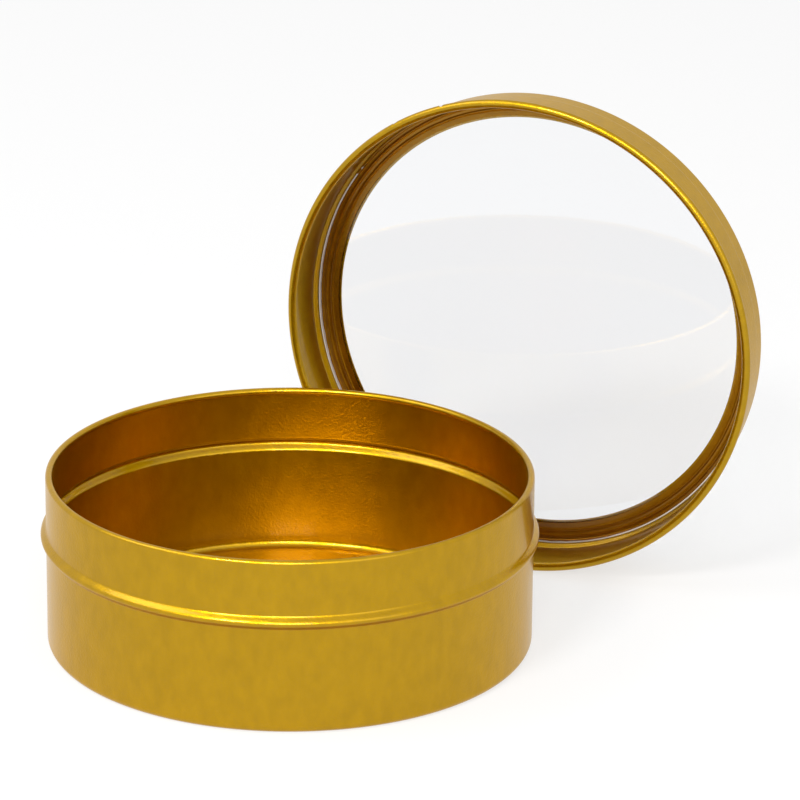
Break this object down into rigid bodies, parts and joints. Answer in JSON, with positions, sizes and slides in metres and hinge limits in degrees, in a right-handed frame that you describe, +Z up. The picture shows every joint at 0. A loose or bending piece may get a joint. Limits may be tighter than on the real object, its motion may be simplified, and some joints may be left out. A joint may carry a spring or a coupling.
{
  "type": "window lid tin",
  "caption": "Shallow round tin of gold-lacquered tinplate with a beaded wall and rolled rim, and a slip-on lid with a clear round window, taken off and stood on its edge behind it.",
  "frame": {"origin": "middle of the base, on the surface that it stands on", "axes": "+Z up the base's axis; +Y from the base to the lid, along the axis of the stood lid; +X to the right"},
  "size_m": [0.1296, 0.1171, 0.1025],
  "materials": {
    "gold_lacquer": "satin gold lacquer over tinplate, inside and out, with a fine mottled grain",
    "lid_lacquer": "satin gold lacquer over tinplate, a few silver nicks on the rolled rim",
    "clear_window": "clear glossy plastic sheet",
    "ring_lacquer": "satin gold lacquer with a raw silver cut edge"
  },
  "bodies": {
    "base": {"base_cup": "gold_lacquer"},
    "lid": {"lid_shell": "lid_lacquer", "window_disc": "clear_window", "retaining_ring": "ring_lacquer"}
  },
  "joints": [
    {"name": "lid_lift", "type": "slide", "parent": "base", "child": "lid", "axis": [0, 0, 1], "range_m": [0, 0.06]}
  ]
}
